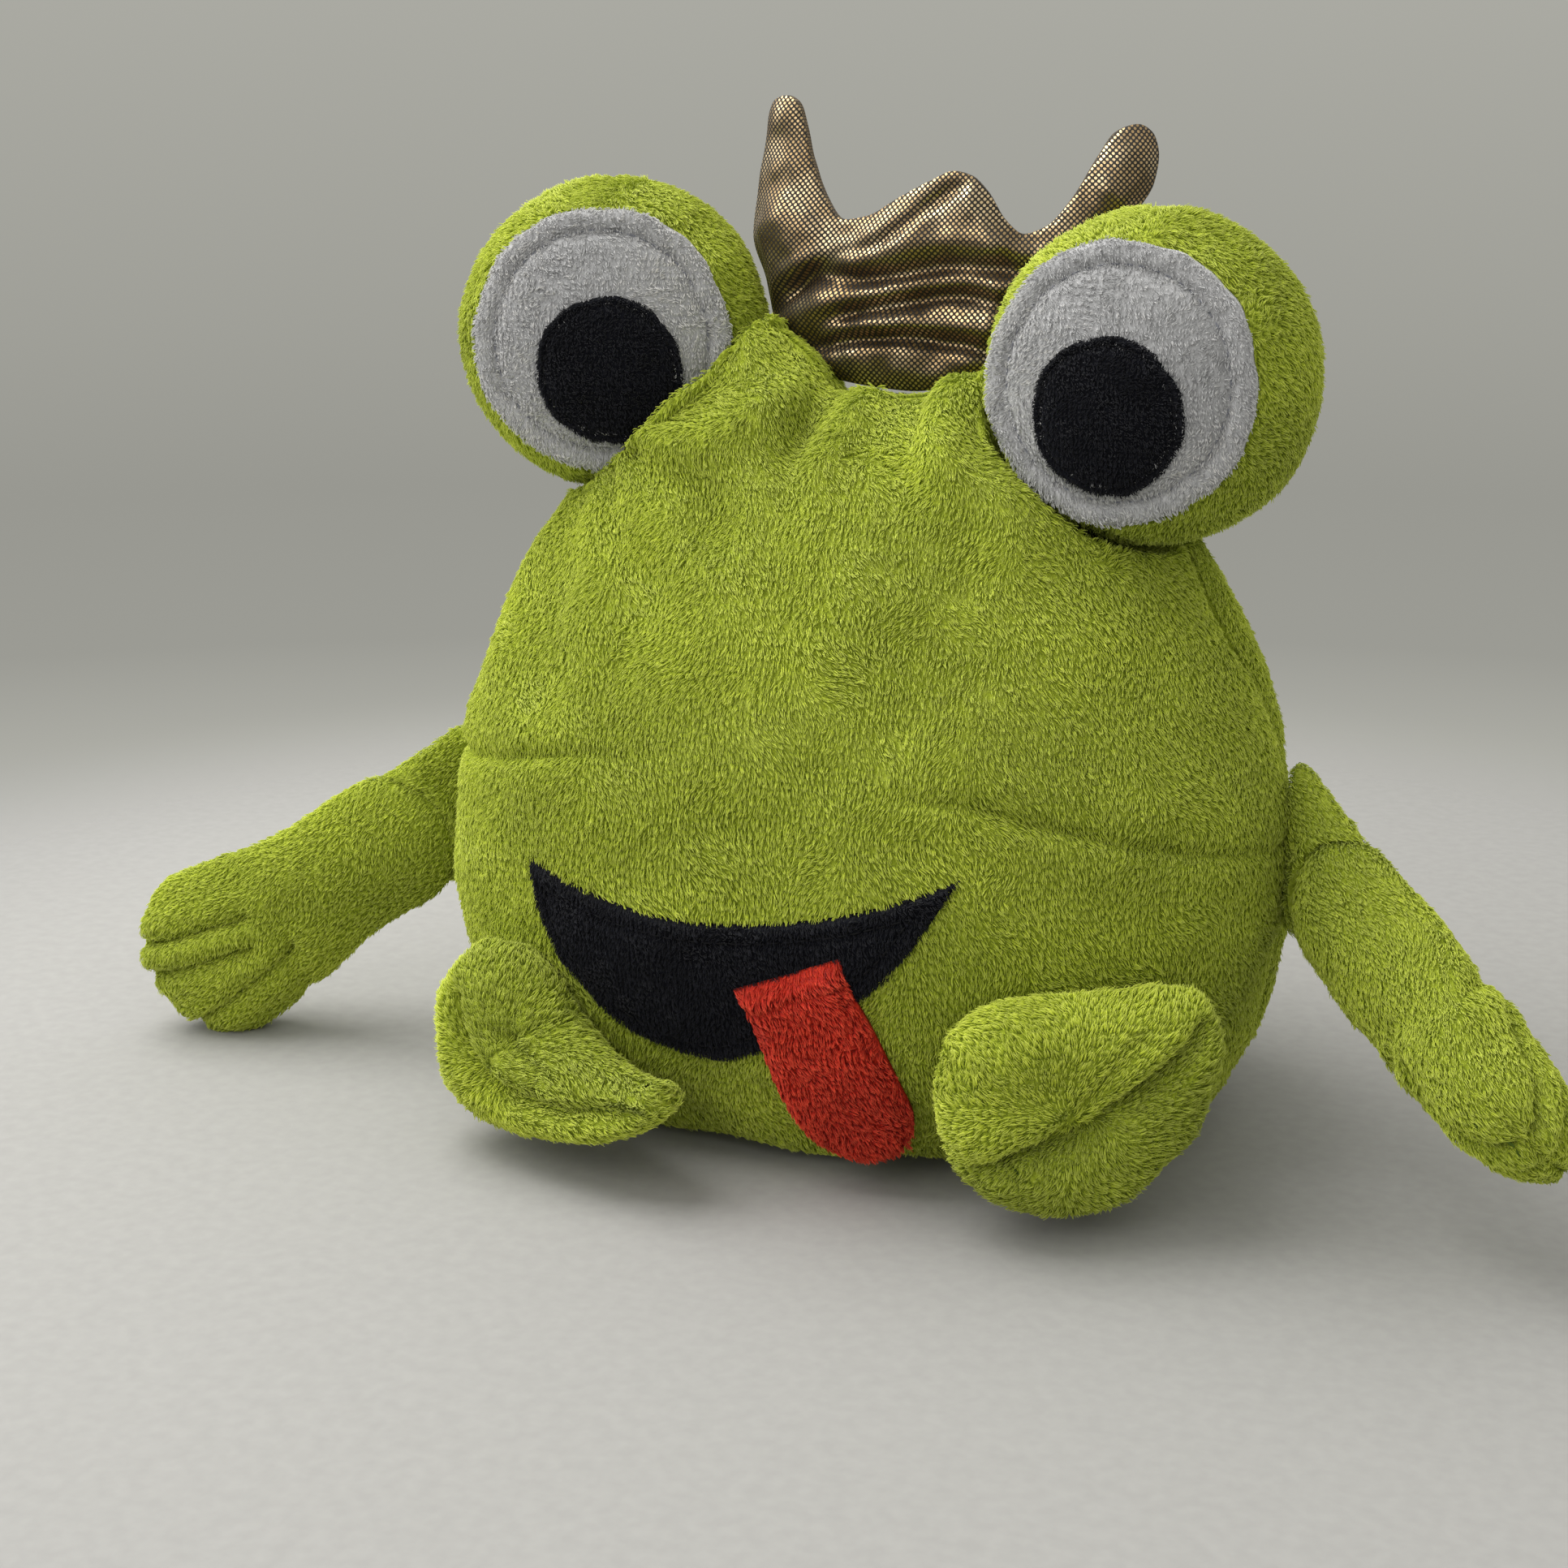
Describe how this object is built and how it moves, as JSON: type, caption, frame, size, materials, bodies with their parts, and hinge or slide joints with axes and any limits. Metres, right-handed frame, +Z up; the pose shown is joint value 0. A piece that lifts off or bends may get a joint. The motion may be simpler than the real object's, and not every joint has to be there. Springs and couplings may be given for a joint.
{
  "type": "hand puppet",
  "caption": "Plush frog hand puppet with a foil fabric crown, hanging tongue, jointed arms and feet, and a round hand opening in its base.",
  "frame": {"origin": "centre of the round hand opening, in the plane of the base", "axes": "+Z up, -Y is where the frog looks, +X is the frog's left side and runs along the arm span"},
  "size_m": [0.3965, 0.1817, 0.2586],
  "materials": {
    "green_plush": "short lime green plush pile",
    "white_plush": "short white plush pile",
    "black_felt": "blue-black felt with a short nap",
    "red_plush": "red shaggy plush",
    "gold_foil_fabric": "black cloth with bronze foil dots",
    "fibre_fill": "loose polyester fibre",
    "lining_cloth": "plain woven lining",
    "green_thread": "sewing thread",
    "black_thread": "sewing thread",
    "white_thread": "sewing thread",
    "red_thread": "sewing thread"
  },
  "bodies": {
    "body": {"body_front_panel": "green_plush", "body_back_panel": "green_plush", "body_base_panel": "green_plush", "body_stuffing": "fibre_fill", "hand_lining": "lining_cloth", "opening_hem": "green_plush", "mouth_patch": "black_felt", "mouth_stitching": "black_thread"},
    "tongue": {"tongue_front_panel": "red_plush", "tongue_back_panel": "red_plush", "tongue_stitching": "red_thread"},
    "crown": {"crown_front_panel": "gold_foil_fabric", "crown_wadding": "fibre_fill", "crown_back_panel": "gold_foil_fabric"},
    "right_eye": {"right_eye_ball": "green_plush", "right_eye_stuffing": "fibre_fill", "right_eye_white": "white_plush", "right_eye_pupil": "black_felt", "right_eye_white_stitching": "white_thread", "right_eye_pupil_stitching": "black_thread"},
    "right_shoulder": {"right_shoulder_tab": "green_plush"},
    "right_arm": {"right_arm_front_panel": "green_plush", "right_arm_back_panel": "green_plush", "right_arm_stuffing": "fibre_fill", "right_finger_stitching": "green_thread"},
    "right_foot": {"right_foot_upper": "green_plush", "right_foot_sole": "green_plush", "right_foot_stuffing": "fibre_fill", "right_toe_stitching": "green_thread"},
    "left_eye": {"left_eye_ball": "green_plush", "left_eye_stuffing": "fibre_fill", "left_eye_white": "white_plush", "left_eye_pupil": "black_felt", "left_eye_white_stitching": "white_thread", "left_eye_pupil_stitching": "black_thread"},
    "left_shoulder": {"left_shoulder_tab": "green_plush"},
    "left_arm": {"left_arm_front_panel": "green_plush", "left_arm_back_panel": "green_plush", "left_arm_stuffing": "fibre_fill", "left_finger_stitching": "green_thread"},
    "left_foot": {"left_foot_upper": "green_plush", "left_foot_sole": "green_plush", "left_foot_stuffing": "fibre_fill", "left_toe_stitching": "green_thread"}
  },
  "joints": [
    {"name": "right_shoulder_swing", "type": "hinge", "parent": "body", "child": "right_shoulder", "pos_m": [-0.11651, -0.008, 0.0675], "axis": [0, 0, 1], "range_deg": [-39, 51]},
    {"name": "right_shoulder_lift", "type": "hinge", "parent": "right_shoulder", "child": "right_arm", "pos_m": [-0.13606, -0.01473, 0.05532], "axis": [-0.3256, 0.9455, 0], "range_deg": [-30, 65]},
    {"name": "left_shoulder_swing", "type": "hinge", "parent": "body", "child": "left_shoulder", "pos_m": [0.11578, -0.008, 0.0785], "axis": [0, 0, -1], "range_deg": [-63, 27]},
    {"name": "left_shoulder_lift", "type": "hinge", "parent": "left_shoulder", "child": "left_arm", "pos_m": [0.13135, -0.02252, 0.06742], "axis": [-0.682, -0.7314, 0], "range_deg": [-30, 65]},
    {"name": "right_hip", "type": "hinge", "parent": "body", "child": "right_foot", "pos_m": [-0.05, -0.085, 0.016], "axis": [0.9272, -0.3746, 0], "range_deg": [0, 80]},
    {"name": "left_hip", "type": "hinge", "parent": "body", "child": "left_foot", "pos_m": [0.07, -0.079, 0.016], "axis": [0.866, 0.5, 0], "range_deg": [0, 80]},
    {"name": "right_eye_tilt", "type": "hinge", "parent": "body", "child": "right_eye", "pos_m": [-0.072, 0.004, 0.198], "axis": [0.9659, 0.2588, 0], "range_deg": [-12, 12], "stiffness_Nm_per_rad": 0.12},
    {"name": "left_eye_tilt", "type": "hinge", "parent": "body", "child": "left_eye", "pos_m": [0.074, -0.006, 0.1935], "axis": [0.9925, -0.1219, 0], "range_deg": [-12, 12], "stiffness_Nm_per_rad": 0.12},
    {"name": "crown_tilt", "type": "hinge", "parent": "body", "child": "crown", "pos_m": [0.008, 0.01, 0.186], "axis": [-1, 0, 0], "range_deg": [0, 16], "stiffness_Nm_per_rad": 0.06},
    {"name": "tongue_flap", "type": "hinge", "parent": "body", "child": "tongue", "pos_m": [0.007, -0.08173, 0.058], "axis": [-0.9272, 0, -0.3746], "range_deg": [0, 75]}
  ]
}
